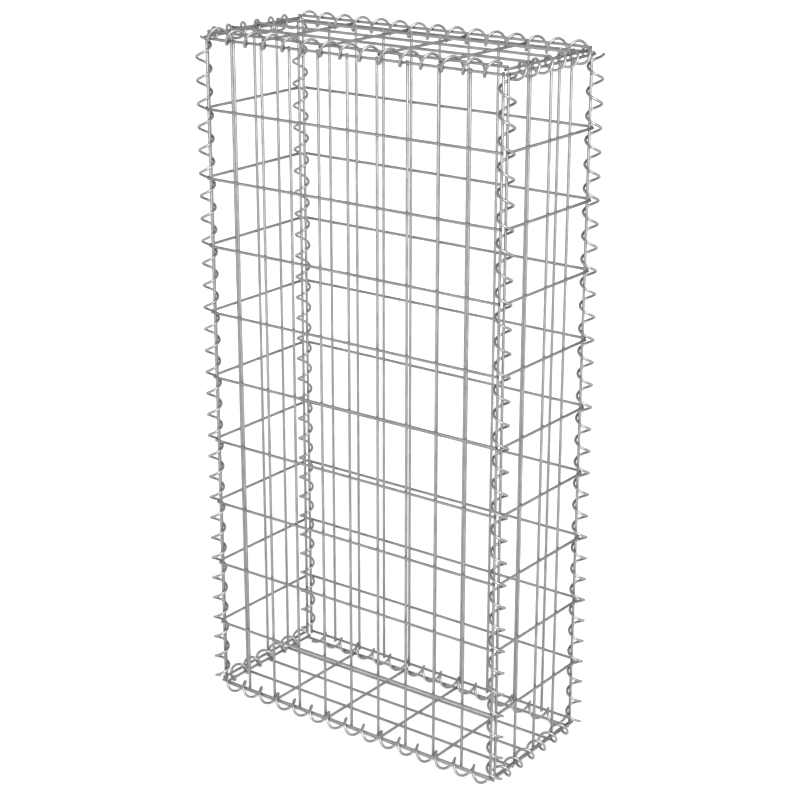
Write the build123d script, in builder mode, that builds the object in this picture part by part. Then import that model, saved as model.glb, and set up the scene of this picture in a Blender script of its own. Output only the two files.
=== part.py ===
"""Gabion basket: an empty cage of welded wire mesh, 0.5 m wide, 0.2 m deep and 1 m high.

Six flat mesh panels, laced along all twelve edges by spiral wires. Millimetres, +Z up, the front
faces -Y, and the origin is in the middle of the basket's footprint, on the ground.
"""

import os
from math import atan2, cos, pi, sin, sqrt

from build123d import *

os.makedirs("parts", exist_ok=True)

# The welded mesh: its wire, its openings and how many of them each panel has.
wire_d = 4.0
mesh_width = 50.0
mesh_height = 100.0
front_openings = 10
side_openings = 4
upward_openings = 10
uprights_per_cross_wire = 2
wire_overhang = 1.0

# The lacing: spirals of thinner wire, three turns to an opening's height, and the clear gaps between
# the edge wires that they hold.
spiral_wire_d = 3.5
turns_per_opening = 3
front_gap = 2.6
side_gap = 0.3
lid_gap = 1.5
seat_clearance = 0.3
short_lace_height = 1.0

# Where the spirals stand, in shares of a turn. At the middle upright, a long one of the lid and base has
# turned outwards from it, and a short one inwards. At a level wire, a corner one has turned from straight
# out to the side towards the back. The short ones are wound a little finer, to a share of the long pitch.
long_turn_share = 0.361
short_turn_share = 0.19
corner_turn_share = 0.067
short_pitch_share = 0.923

# A wire of the mesh is a square bar of the round wire's section. A spiral has straight runs, and its
# three-sided section lies inside the round wire.
runs_per_turn = 8
spiral_sides = 3
spiral_section_share = 0.92
bar = wire_d * sqrt(pi) / 2
spiral_half = spiral_section_share * spiral_wire_d / 2

# Each panel stands one step outside its neighbour's edge wire.
front_step = bar + front_gap
side_step = bar + side_gap
lid_step = 2 * bar + lid_gap
front_half = front_openings * mesh_width / 2
side_half = side_openings * mesh_width / 2
wall_height = upward_openings * mesh_height
wall_x = front_half + side_step
wall_y = side_half + front_step
lid_openings = front_openings // uprights_per_cross_wire
lid_pitch = 2 * front_half / lid_openings

# The spirals: they hold the widest pair of wires across from each other, the lid's front wire and the
# front's top wire, and their runs clear the corners of the bars.
corner_pitch = mesh_height / turns_per_opening
edge_pitch = mesh_width * uprights_per_cross_wire / turns_per_opening
short_pitch = edge_pitch * short_pitch_share
run_angle = 2 * pi / runs_per_turn
hold = sqrt((front_step + bar) ** 2 + lid_step**2) / 2
spiral_radius = hold + bar / sqrt(2) + (seat_clearance + spiral_half) / cos(run_angle / 2)

# Their axes: along the lid and base above the walls' ends, and up the corners outside both wires.
lace_height = lid_step / 2
lace_y = side_half + (front_step + bar) / 2
lace_x = front_half + sqrt(hold**2 - (lid_step - bar - short_lace_height) ** 2)
corner_span = sqrt(front_step**2 + side_step**2)
corner_out = sqrt(hold**2 - (corner_span / 2) ** 2)
corner_x = front_half + side_step / 2 + corner_out * front_step / corner_span
corner_y = side_half + front_step / 2 + corner_out * side_step / corner_span

# Heights: the base's spirals stand on the ground.
wall_foot = lace_height + spiral_radius + spiral_half / cos(run_angle / 2)
wall_middle = wall_foot + wall_height / 2


def wire_layer(plane, wires, pitch, length):
    """A layer of wires side by side, along the plane's Y."""
    with BuildPart() as layer:
        with BuildSketch(plane.offset(-bar / 2)):
            with GridLocations(pitch, 0, wires, 1):
                Rectangle(bar, length)
        extrude(amount=bar)
    return layer


def mesh_layers(plane, columns, column_pitch, rows, row_pitch):
    """The two layers of a mesh: columns along the plane's Y, and rows on their outer side."""
    wire_end = bar / 2 + wire_overhang
    row_plane = Plane(origin=plane.offset(bar).origin, x_dir=plane.y_dir, z_dir=plane.z_dir)
    column_layer = wire_layer(plane, columns, column_pitch, (rows - 1) * row_pitch + 2 * wire_end)
    row_layer = wire_layer(row_plane, rows, row_pitch, (columns - 1) * column_pitch + 2 * wire_end)
    return column_layer, row_layer


def welded(layers):
    """A panel: two layers of wires, fused at every crossing."""
    with BuildPart() as panel:
        for layer in layers:
            add(layer.part)
    return panel


def spiral(axis, length, pitch, hand, middle_angle, seat_angle):
    """A spiral wire along a plane's normal, with a corner of its runs where it holds a wire.

    hand is 1 for a right-handed spiral and -1 for a left-handed one, and middle_angle is where the
    wire stands round the axis at the middle of the edge.
    """
    run_rise = pitch / runs_per_turn
    seat_run = hand * (seat_angle - middle_angle) / run_angle
    first_run = round(-length / 2 / run_rise - seat_run)
    points = []
    for run in range(first_run, first_run + round(length / run_rise) + 1):
        angle = seat_angle + hand * run * run_angle
        along = (seat_run + run) * run_rise
        points.append((spiral_radius * cos(angle), spiral_radius * sin(angle), along))
    with BuildPart() as lacing:
        with BuildLine(axis) as path:
            Polyline(*points)
        with BuildSketch(Plane(origin=path.line @ 0, z_dir=path.line % 0)):
            RegularPolygon(spiral_half, spiral_sides)
        sweep(transition=Transition.RIGHT)
    return lacing


def save(piece, name):
    """Labels a finished piece and writes it to a file of its own."""
    piece.part.label = name
    export_step(piece.part, f"parts/{name}.step")


# Front and back walls: the upright wires are inside, and the level wires lie outside them.
for name, side in (("front_panel", -1), ("back_panel", 1)):
    wall = Plane(origin=(0, side * wall_y, wall_middle), x_dir=(-side, 0, 0), z_dir=(0, side, 0))
    save(welded(mesh_layers(wall, front_openings + 1, mesh_width, upward_openings + 1, mesh_height)), name)

# Left and right walls, four openings wide.
for name, side in (("left_panel", -1), ("right_panel", 1)):
    wall = Plane(origin=(side * wall_x, 0, wall_middle), x_dir=(0, side, 0), z_dir=(side, 0, 0))
    save(welded(mesh_layers(wall, side_openings + 1, mesh_width, upward_openings + 1, mesh_height)), name)

# Base and lid: the long wires are outside, and the cross wires lie against their inner side.
cross_level = wall_height / 2 + lid_step - bar
base_plane = Plane(origin=(0, 0, wall_middle - cross_level), x_dir=(-1, 0, 0), z_dir=(0, 0, -1))
base_layers = mesh_layers(base_plane, lid_openings + 1, lid_pitch, side_openings + 1, mesh_width)
save(welded(base_layers), "base_panel")

# The lid is the way in for the stones, so each of its wires stays a solid of its own.
lid_plane = Plane(origin=(0, 0, wall_middle + cross_level))
lid_layers = mesh_layers(lid_plane, lid_openings + 1, lid_pitch, side_openings + 1, mesh_width)
for name, layer in zip(("lid_cross_wires", "lid_long_wires"), lid_layers):
    save(layer, name)

# Corner spirals: they start and end at the walls' end wires, standing out to the side.
corner_turn = 2 * pi * corner_turn_share
middle_turn = pi * turns_per_opening * upward_openings
for name, side_x, side_y, hand in (
    ("front_left_spiral", -1, -1, 1),
    ("front_right_spiral", 1, -1, -1),
    ("back_left_spiral", -1, 1, 1),
    ("back_right_spiral", 1, 1, -1),
):
    corner = Plane(origin=(side_x * corner_x, side_y * corner_y, wall_middle))
    level_angle = atan2(sin(corner_turn), side_x * cos(corner_turn))
    middle_angle = level_angle + hand * middle_turn
    seat_angle = atan2(side_y * (side_half - corner_y), side_x * (wall_x - corner_x))
    save(spiral(corner, wall_height, corner_pitch, hand, middle_angle, seat_angle), name)

# Long spirals of the lid and base: they hold a long wire and the wall's end wire across from it.
long_turn = 2 * pi * long_turn_share
upright_y = wall_y - lace_y
upright_z = sqrt(spiral_radius**2 - upright_y**2)
long_length = 2 * front_half - edge_pitch / 2
for name, side_y, side_z in (
    ("lid_front_spiral", -1, 1),
    ("lid_back_spiral", 1, 1),
    ("base_front_spiral", -1, -1),
    ("base_back_spiral", 1, -1),
):
    level = wall_middle + side_z * (wall_height / 2 + lace_height)
    edge = Plane(origin=(0, side_y * lace_y, level), x_dir=(0, 1, 0), z_dir=(1, 0, 0))
    pass_angle = atan2(-side_z * upright_z, side_y * upright_y)
    middle_angle = pass_angle + side_y * side_z * long_turn
    seat_angle = atan2(side_z * lid_step / 2, side_y * (side_half - lace_y))
    save(spiral(edge, long_length, edge_pitch, -side_z, middle_angle, seat_angle), name)

# Short spirals of the lid and base: they hold an end cross wire and the side wall's end wire.
short_turn = 2 * pi * short_turn_share
upright_x = wall_x - lace_x
upright_z = sqrt(spiral_radius**2 - upright_x**2)
short_length = 2 * side_half - short_pitch / 2
for name, side_x, side_z in (
    ("lid_left_spiral", -1, 1),
    ("lid_right_spiral", 1, 1),
    ("base_left_spiral", -1, -1),
    ("base_right_spiral", 1, -1),
):
    level = wall_middle + side_z * (wall_height / 2 + short_lace_height)
    edge = Plane(origin=(side_x * lace_x, 0, level), x_dir=(0, 0, 1), z_dir=(0, 1, 0))
    pass_angle = atan2(side_x * upright_x, -side_z * upright_z)
    middle_angle = pass_angle + side_x * side_z * short_turn
    seat_angle = atan2(side_x * (front_half - lace_x), side_z * (lid_step - bar - short_lace_height))
    save(spiral(edge, short_length, short_pitch, -side_z, middle_angle, seat_angle), name)
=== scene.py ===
"""Gabion basket: an empty cage of galvanised wire mesh, laced along its edges by spiral wires."""

import random
from math import atan2, cos, pi, radians, sin, sqrt

import bmesh
import bpy
from mathutils import Matrix, Vector


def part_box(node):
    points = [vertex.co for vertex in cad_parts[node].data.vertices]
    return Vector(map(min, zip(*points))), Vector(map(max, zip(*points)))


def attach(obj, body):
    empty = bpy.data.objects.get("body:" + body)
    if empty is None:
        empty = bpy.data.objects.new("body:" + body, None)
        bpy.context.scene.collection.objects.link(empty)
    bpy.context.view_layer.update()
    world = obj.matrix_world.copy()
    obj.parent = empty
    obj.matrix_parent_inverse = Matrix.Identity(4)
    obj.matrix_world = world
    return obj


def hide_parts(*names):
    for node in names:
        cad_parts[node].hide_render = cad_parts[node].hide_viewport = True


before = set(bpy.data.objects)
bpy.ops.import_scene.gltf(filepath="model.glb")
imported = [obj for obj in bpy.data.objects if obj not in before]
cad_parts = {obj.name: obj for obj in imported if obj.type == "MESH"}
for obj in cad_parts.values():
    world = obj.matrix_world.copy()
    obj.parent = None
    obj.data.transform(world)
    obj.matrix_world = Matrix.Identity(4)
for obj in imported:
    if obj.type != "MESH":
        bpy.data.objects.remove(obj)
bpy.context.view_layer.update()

# The mesh wire. Low-carbon steel drawn through a die to 4 mm, then run through a bath of molten zinc
# and wiped, so the zinc skin is thin, follows the drawing marks and sets in paler and darker patches.
wire_d = 0.004
millimetre = 0.001


def linear(hex_colour):
    """An sRGB colour such as "a0a0a0" as linear RGBA."""
    values = [int(hex_colour[i : i + 2], 16) / 255 for i in (0, 2, 4)]
    return [v / 12.92 if v <= 0.04045 else ((v + 0.055) / 1.055) ** 2.4 for v in values] + [1.0]


def add_node(owner, kind, settings, links):
    """Adds a node: settings are its properties or input values, and links the sockets that feed it."""
    tree = owner.node_tree
    node = tree.nodes.new(kind)
    for name, value in settings.items():
        if name in node.inputs:
            node.inputs[name].default_value = value
        else:
            setattr(node, name, value)
    for name, source in links.items():
        tree.links.new(source, node.inputs[name])
    return node


def galvanised_steel(name, dark, pale, rim, smooth, rough):
    """Zinc on drawn steel: a satin grey metal in paler and darker patches.

    Its marks follow the wire: long patches, fine streaks from the die, and the grain of the zinc. The
    streaks are about twice as coarse as real ones, so that they still show from a metre away. The cut
    ends have no zinc: the shears leave them a darker, matt grey. The tint rim dulls what the zinc
    mirrors at a glancing angle, and smooth and rough are the limits of its roughness.
    """
    patch_width, patch_length = 5 * millimetre, 24 * millimetre
    streak_width, streak_length = 0.5 * millimetre, 18 * millimetre
    grain_size = 0.7 * millimetre
    relief_height, relief_strength = 0.03 * millimetre, 0.4
    streaks_in_colour, streaks_in_relief = 0.35, 0.6
    darkest_skin, palest_skin = 0.38, 0.62
    finest_grain, coarsest_grain = 0.3, 0.7
    sheared_colour, sheared_roughness = "6c6c6c", 0.6
    material = bpy.data.materials.new(name)
    material.use_nodes = True
    material.node_tree.nodes.clear()
    place = add_node(
        material, "ShaderNodeAttribute", {"attribute_name": "along_wire"}, {}
    ).outputs["Vector"]
    patch_place = add_node(
        material,
        "ShaderNodeMapping",
        {"Scale": (1 / patch_width, 1 / patch_width, 1 / patch_length)},
        {"Vector": place},
    ).outputs["Vector"]
    patches = add_node(
        material,
        "ShaderNodeTexNoise",
        {"Scale": 1.0, "Detail": 3.0, "Roughness": 0.6},
        {"Vector": patch_place},
    ).outputs["Fac"]
    streak_place = add_node(
        material,
        "ShaderNodeMapping",
        {"Scale": (1 / streak_width, 1 / streak_width, 1 / streak_length)},
        {"Vector": place},
    ).outputs["Vector"]
    streaks = add_node(
        material,
        "ShaderNodeTexNoise",
        {"Scale": 1.0, "Detail": 2.0},
        {"Vector": streak_place},
    ).outputs["Fac"]
    grain = add_node(
        material,
        "ShaderNodeTexNoise",
        {"Scale": 1 / grain_size, "Detail": 2.0},
        {"Vector": place},
    ).outputs["Fac"]
    skin = add_node(
        material,
        "ShaderNodeMix",
        {"data_type": "FLOAT", "Factor": streaks_in_colour},
        {"A": patches, "B": streaks},
    ).outputs["Result"]
    zinc = add_node(material, "ShaderNodeValToRGB", {}, {"Fac": skin})
    zinc.color_ramp.elements[0].position = darkest_skin
    zinc.color_ramp.elements[0].color = linear(dark)
    zinc.color_ramp.elements[1].position = palest_skin
    zinc.color_ramp.elements[1].color = linear(pale)
    polish = add_node(
        material,
        "ShaderNodeMapRange",
        {"From Min": finest_grain, "From Max": coarsest_grain, "To Min": smooth, "To Max": rough},
        {"Value": grain},
    ).outputs["Result"]
    cut_end = add_node(
        material, "ShaderNodeAttribute", {"attribute_name": "cut_end"}, {}
    ).outputs["Fac"]
    colour = add_node(
        material,
        "ShaderNodeMixRGB",
        {"Color2": linear(sheared_colour)},
        {"Fac": cut_end, "Color1": zinc.outputs["Color"]},
    ).outputs["Color"]
    roughness = add_node(
        material,
        "ShaderNodeMix",
        {"data_type": "FLOAT", "B": sheared_roughness},
        {"Factor": cut_end, "A": polish},
    ).outputs["Result"]
    height = add_node(
        material,
        "ShaderNodeMix",
        {"data_type": "FLOAT", "Factor": streaks_in_relief},
        {"A": grain, "B": streaks},
    ).outputs["Result"]
    relief = add_node(
        material,
        "ShaderNodeBump",
        {"Strength": relief_strength, "Distance": relief_height},
        {"Height": height},
    ).outputs["Normal"]
    shader = add_node(
        material,
        "ShaderNodeBsdfPrincipled",
        {"Metallic": 0.95, "Specular Tint": linear(rim)},
        {"Base Color": colour, "Roughness": roughness, "Normal": relief},
    ).outputs["BSDF"]
    add_node(material, "ShaderNodeOutputMaterial", {}, {"Surface": shader})
    return material


mesh_steel = galvanised_steel(
    "galvanised_drawn_steel", dark="949494", pale="aeaeae", rim="808080", smooth=0.36, rough=0.44
)


# The six mesh panels. Level wires are laid on upright ones, 50 mm apart one way and 100 mm the other,
# and each crossing is pressed together and resistance-welded, which leaves a small bead round it. The
# wires are sheared to length, a little unevenly.
mesh_width = 0.050
mesh_height = 0.100
wire_sides = 16
cut_edge = 0.0004
uneven_cut = 0.0004
weld_radius = 0.0025
weld_thickness = 0.0012
weld_spread = 0.1
reel_length = 20.0
random.seed(7)


def wire_mesh():
    """An empty mesh whose points keep, for the zinc's marks, where they lie in the straight wire."""
    mesh = bmesh.new()
    mesh.verts.layers.float_vector.new("along_wire")
    mesh.verts.layers.float.new("cut_end")
    return mesh


def sweep_wire(mesh, path, radius):
    """Sweeps a round wire, cut anywhere from a reel, along a path, with the rims of its ends eased."""
    along_wire = mesh.verts.layers.float_vector["along_wire"]
    cut_end = mesh.verts.layers.float["cut_end"]
    first = path[0] + (path[1] - path[0]).normalized() * cut_edge
    last = path[-1] + (path[-2] - path[-1]).normalized() * cut_edge
    points = [path[0], first, *path[1:-1], last, path[-1]]
    rim = radius - cut_edge / 2
    radii = [rim] + [radius] * (len(points) - 2) + [rim]
    normal = (points[1] - points[0]).orthogonal().normalized()
    # Each ring takes the last one's normal, squared up to the path, so the wire doesn't twist.
    reel_place = random.uniform(0, reel_length)
    rings = []
    for i, point in enumerate(points):
        before = points[max(i - 1, 0)]
        tangent = (points[min(i + 1, len(points) - 1)] - before).normalized()
        normal = (normal - tangent * normal.dot(tangent)).normalized()
        binormal = tangent.cross(normal)
        reel_place += (point - before).length
        ring = []
        for side in range(wire_sides):
            turn = 2 * pi * side / wire_sides
            corner = mesh.verts.new(point + (normal * cos(turn) + binormal * sin(turn)) * radii[i])
            corner[along_wire] = (radii[i] * cos(turn), radii[i] * sin(turn), reel_place)
            corner[cut_end] = 1.0 if i in (0, len(points) - 1) else 0.0
            ring.append(corner)
        rings.append(ring)
    for lower, upper in zip(rings, rings[1:]):
        for side in range(wire_sides):
            after = (side + 1) % wire_sides
            mesh.faces.new((lower[side], lower[after], upper[after], upper[side]))
    mesh.faces.new(rings[0][::-1])
    mesh.faces.new(rings[-1])


def piece_of(mesh, name, nodes, material):
    """Turns a finished mesh, smooth but for its cut ends, into the piece for one CAD node or more."""
    for face in mesh.faces:
        face.smooth = len(face.verts) < wire_sides
    data = bpy.data.meshes.new(name)
    mesh.to_mesh(data)
    mesh.free()
    data.materials.append(material)
    piece = bpy.data.objects.new(name, data)
    bpy.context.collection.objects.link(piece)
    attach(piece, "root")
    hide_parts(*nodes)


def box_of(nodes):
    """The low and high corners of the box round some CAD nodes."""
    boxes = [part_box(node) for node in nodes]
    low = Vector([min(box[0][axis] for box in boxes) for axis in range(3)])
    high = Vector([max(box[1][axis] for box in boxes) for axis in range(3)])
    return low, high


def welded_panel(name, nodes, across, along, outward, columns, column_pitch, rows, row_pitch):
    """A flat panel of columns, which run along, with rows laid across on their outer side.

    across and along are axis numbers, and outward, 1 or -1, is the way that the outer side faces.
    """
    low, high = box_of(nodes)
    depth = 3 - across - along
    layer = (high[depth] - low[depth]) / 2
    column_depth = (low[depth] + high[depth] - outward * layer) / 2
    row_depth = column_depth + outward * layer
    middle = (low + high) / 2
    column_places = [middle[across] + (i - (columns - 1) / 2) * column_pitch for i in range(columns)]
    row_places = [middle[along] + (i - (rows - 1) / 2) * row_pitch for i in range(rows)]
    mesh = wire_mesh()

    def point(across_at, along_at, depth_at):
        place = Vector((0, 0, 0))
        place[across], place[along], place[depth] = across_at, along_at, depth_at
        return place

    def wire_path(axis):
        uneven_low = random.uniform(-uneven_cut, uneven_cut)
        uneven_high = random.uniform(-uneven_cut, uneven_cut)
        return low[axis] + uneven_low, middle[axis], high[axis] + uneven_high

    for column in column_places:
        sweep_wire(mesh, [point(column, at, column_depth) for at in wire_path(along)], wire_d / 2)
    for row in row_places:
        sweep_wire(mesh, [point(at, row, row_depth) for at in wire_path(across)], wire_d / 2)
    along_wire = mesh.verts.layers.float_vector["along_wire"]
    weld_depth = (column_depth + row_depth) / 2
    for column in column_places:
        for row in row_places:
            radius = weld_radius * random.uniform(1 - weld_spread, 1 + weld_spread)
            size = Matrix.Diagonal((*point(radius, radius, weld_thickness), 1))
            place = Matrix.Translation(point(column, row, weld_depth))
            bead = bmesh.ops.create_icosphere(mesh, subdivisions=2, radius=1, matrix=place @ size)
            for corner in bead["verts"]:
                corner[along_wire] = corner.co
    piece_of(mesh, name, nodes, mesh_steel)


x_axis, y_axis, z_axis = 0, 1, 2
front_columns, side_columns, level_rows = 11, 5, 11
cross_wires, long_wires = 6, 5
lid_nodes = ("lid_cross_wires", "lid_long_wires")
front_grid = (front_columns, mesh_width, level_rows, mesh_height)
side_grid = (side_columns, mesh_width, level_rows, mesh_height)
lid_grid = (cross_wires, mesh_height, long_wires, mesh_width)
for name, nodes, across, along, outward, grid in (
    ("front_mesh", ("front_panel",), x_axis, z_axis, -1, front_grid),
    ("back_mesh", ("back_panel",), x_axis, z_axis, 1, front_grid),
    ("left_mesh", ("left_panel",), y_axis, z_axis, -1, side_grid),
    ("right_mesh", ("right_panel",), y_axis, z_axis, 1, side_grid),
    ("base_mesh", ("base_panel",), x_axis, y_axis, -1, lid_grid),
    ("lid_mesh", lid_nodes, x_axis, y_axis, 1, lid_grid),
):
    welded_panel(name, nodes, across, along, outward, *grid)


# The spirals. Springy steel wire, galvanised bright and coiled cold, then screwed along an edge so
# that each turn goes round the edge wires of both panels and lies tight against them. It looks thicker
# in the photo than the CAD's 3.5 mm, so it is drawn at 3.8 mm.
spiral_wire_d = 0.0038
turns_per_opening = 3
uprights_per_cross_wire = 2
corner_pitch = mesh_height / turns_per_opening
edge_pitch = uprights_per_cross_wire * mesh_width / turns_per_opening
steps_per_turn = 28
spiral_steel = galvanised_steel(
    "galvanised_spring_steel", dark="969696", pale="b2b2b2", rim="c0c0c0", smooth=0.30, rough=0.38
)

front_low, front_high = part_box("front_panel")
right_low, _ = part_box("right_panel")
_, lid_high = box_of(lid_nodes)
layer = (front_high.y - front_low.y) / 2
front_half = (front_columns - 1) * mesh_width / 2
side_half = (side_columns - 1) * mesh_width / 2
wall_half = (level_rows - 1) * mesh_height / 2
wall_middle = (front_low.z + front_high.z) / 2
wall_x = right_low.x + layer / 2
wall_y = -(front_high.y - layer / 2)
front_step = wall_y - side_half
side_step = wall_x - front_half
lid_step = lid_high.z - layer / 2 - wall_middle - wall_half
# hold is half the distance between the two wires that a long spiral laces. All the spirals are wound
# to that size, and the corner and short ones lie where they pass round their own two wires.
hold = sqrt((front_step + layer) ** 2 + lid_step**2) / 2
spiral_radius = hold + wire_d / 2 + spiral_wire_d / 2
to_right, to_back, to_top = Vector((1, 0, 0)), Vector((0, 1, 0)), Vector((0, 0, 1))


def spiral(node, origin, across, up, along, length, pitch, hand, middle_angle):
    """A spiral along an edge, right-handed if hand is 1 and left-handed if it is -1.

    Its angle is counted from across towards up, and middle_angle is the one at the edge's middle.
    """
    mesh = wire_mesh()
    steps = round(length / pitch * steps_per_turn)
    path = []
    for step in range(steps + 1):
        run = length * (step / steps - 1 / 2)
        angle = middle_angle + hand * 2 * pi * run / pitch
        path.append(origin + along * run + (across * cos(angle) + up * sin(angle)) * spiral_radius)
    sweep_wire(mesh, path, spiral_wire_d / 2)
    piece_of(mesh, node + "_wire", (node,), spiral_steel)


# The corner spirals. Each is screwed along a corner, round the edge uprights of two walls and past
# their level wires, three turns to an opening. Its cut ends stand out to the side.
corner_turn = radians(24)
corner_span = sqrt(front_step**2 + side_step**2)
corner_out = sqrt(hold**2 - (corner_span / 2) ** 2)
corner_x = front_half + side_step / 2 + corner_out * front_step / corner_span
corner_y = side_half + front_step / 2 + corner_out * side_step / corner_span
for node, side_x, side_y in (
    ("front_left_spiral", -1, -1),
    ("front_right_spiral", 1, -1),
    ("back_left_spiral", -1, 1),
    ("back_right_spiral", 1, 1),
):
    corner = Vector((side_x * corner_x, side_y * corner_y, wall_middle))
    level_angle = atan2(sin(corner_turn), side_x * cos(corner_turn))
    spiral(node, corner, to_right, to_back, to_top, 2 * wall_half, corner_pitch, -side_x, level_angle)

# The long spirals. Each laces the front or back wall to the lid or base: it goes round the end level
# wire of the wall and the long edge wire of the lid or base, and its turns pass between the uprights.
long_turn = radians(130)
lace_height = lid_step / 2
lace_y = side_half + (front_step + layer) / 2
upright_y = wall_y - lace_y
upright_z = sqrt(spiral_radius**2 - upright_y**2)
long_length = 2 * front_half - edge_pitch / 2
for node, side_y, side_z in (
    ("lid_front_spiral", -1, 1),
    ("lid_back_spiral", 1, 1),
    ("base_front_spiral", -1, -1),
    ("base_back_spiral", 1, -1),
):
    edge = Vector((0, side_y * lace_y, wall_middle + side_z * (wall_half + lace_height)))
    middle_angle = atan2(-side_z * upright_z, side_y * upright_y) + side_y * side_z * long_turn
    spiral(node, edge, to_back, to_top, to_right, long_length, edge_pitch, -side_z, middle_angle)

# The short spirals. Each laces a side wall to the lid or base: it goes round the end level wire of the
# wall and the end cross wire of the lid or base. They are wound a little finer than the long ones.
short_turn = radians(68)
short_lace_height = 0.001
short_pitch_share = 0.923
short_pitch = short_pitch_share * edge_pitch
lace_x = front_half + sqrt(hold**2 - (lid_step - layer - short_lace_height) ** 2)
upright_x = wall_x - lace_x
upright_z = sqrt(spiral_radius**2 - upright_x**2)
short_length = 2 * side_half - short_pitch / 2
for node, side_x, side_z in (
    ("lid_left_spiral", -1, 1),
    ("lid_right_spiral", 1, 1),
    ("base_left_spiral", -1, -1),
    ("base_right_spiral", 1, -1),
):
    edge = Vector((side_x * lace_x, 0, wall_middle + side_z * (wall_half + short_lace_height)))
    middle_angle = atan2(side_x * upright_x, -side_z * upright_z) + side_x * side_z * short_turn
    spiral(node, edge, to_top, to_right, to_back, short_length, short_pitch, -side_z, middle_angle)


# The floor. White studio paper, laid flat and lit until it is as white as the surround. It is matt, and
# it takes the basket's faint shadow.
floor_size = 40.0
paper_glow = 0.62
floor_mesh = bmesh.new()
bmesh.ops.create_grid(floor_mesh, x_segments=1, y_segments=1, size=floor_size / 2)
floor_data = bpy.data.meshes.new("studio_floor")
floor_mesh.to_mesh(floor_data)
floor_mesh.free()
floor = bpy.data.objects.new("studio_floor", floor_data)
bpy.context.collection.objects.link(floor)
white_paper = bpy.data.materials.new("white_studio_paper")
white_paper.use_nodes = True
white_paper.node_tree.nodes.clear()
paper = add_node(white_paper, "ShaderNodeBsdfDiffuse", {"Color": linear("f2f2f2")}, {}).outputs["BSDF"]
glow = add_node(
    white_paper, "ShaderNodeEmission", {"Color": linear("ffffff"), "Strength": paper_glow}, {}
).outputs["Emission"]
lit_paper = add_node(white_paper, "ShaderNodeAddShader", {}, {0: paper, 1: glow}).outputs["Shader"]
rays = add_node(white_paper, "ShaderNodeLightPath", {}, {}).outputs
seen = add_node(
    white_paper,
    "ShaderNodeMath",
    {"operation": "MAXIMUM"},
    {0: rays["Is Camera Ray"], 1: rays["Is Glossy Ray"]},
).outputs["Value"]
sheet = add_node(
    white_paper, "ShaderNodeMixShader", {}, {"Fac": seen, 1: paper, 2: lit_paper}
).outputs["Shader"]
add_node(white_paper, "ShaderNodeOutputMaterial", {}, {"Surface": sheet})
floor_data.materials.append(white_paper)

# The surround. A studio tent, white low down and a little greyer overhead, which the metal mirrors at
# full strength. It gives less light than that, so that the lamps still model the wires.
white_up_to, grey_from = radians(12), radians(50)
light_given, light_mirrored = 0.45, 1.0
world = bpy.data.worlds.new("white_studio")
bpy.context.scene.world = world
world.use_nodes = True
world.node_tree.nodes.clear()
rays = add_node(world, "ShaderNodeLightPath", {}, {}).outputs
seen = add_node(
    world,
    "ShaderNodeMath",
    {"operation": "MAXIMUM"},
    {0: rays["Is Camera Ray"], 1: rays["Is Glossy Ray"]},
).outputs["Value"]
seen = add_node(
    world,
    "ShaderNodeMath",
    {"operation": "MAXIMUM"},
    {0: seen, 1: rays["Is Transmission Ray"]},
).outputs["Value"]
strength = add_node(
    world,
    "ShaderNodeMapRange",
    {"To Min": light_given, "To Max": light_mirrored},
    {"Value": seen},
).outputs["Result"]
direction = add_node(world, "ShaderNodeTexCoord", {}, {}).outputs["Generated"]
height = add_node(world, "ShaderNodeSeparateXYZ", {}, {"Vector": direction}).outputs["Z"]
dome = add_node(world, "ShaderNodeValToRGB", {}, {"Fac": height})
dome.color_ramp.elements[0].position = sin(white_up_to)
dome.color_ramp.elements[0].color = linear("ffffff")
dome.color_ramp.elements[1].position = sin(grey_from)
dome.color_ramp.elements[1].color = linear("d8d8d8")
surround = add_node(
    world, "ShaderNodeBackground", {}, {"Color": dome.outputs["Color"], "Strength": strength}
).outputs["Background"]
add_node(world, "ShaderNodeOutputWorld", {}, {"Surface": surround})

# The lamps. A large soft key lamp, to the right of the camera, and a weak disc low down behind the
# back left corner.
key_direction = Vector((0.676, -0.568, 0.469))
key_lamp = bpy.data.lights.new("key_lamp", "SUN")
key_lamp.angle = radians(40)
key_lamp.energy = 2.4
key = bpy.data.objects.new("key_lamp", key_lamp)
key.rotation_euler = key_direction.to_track_quat("Z", "Y").to_euler()
bpy.context.collection.objects.link(key)
side_lamp = bpy.data.lights.new("side_lamp", "AREA")
side_lamp.shape = "DISK"
side_lamp.size = 1.4
side_lamp.energy = 4.0
side = bpy.data.objects.new("side_lamp", side_lamp)
side.location = (-1.5, 1.9, 0.35)
side.rotation_euler = (side.location - Vector((0, 0, wall_middle))).to_track_quat("Z", "Y").to_euler()
side.visible_camera = False
bpy.context.collection.objects.link(side)

# The camera. A long lens 2.8 m from the basket's middle, to the right of the front and above the lid.
camera_data = bpy.data.cameras.new("camera")
camera_data.sensor_width = 36.0
camera_data.lens = 87.65
camera = bpy.data.objects.new("camera", camera_data)
camera.location = (1.6056, -2.1446, 1.43)
camera.rotation_euler = (radians(70.913), radians(-0.1), radians(36.685))
bpy.context.collection.objects.link(camera)
bpy.context.scene.camera = camera
bpy.context.scene.view_settings.view_transform = "Standard"
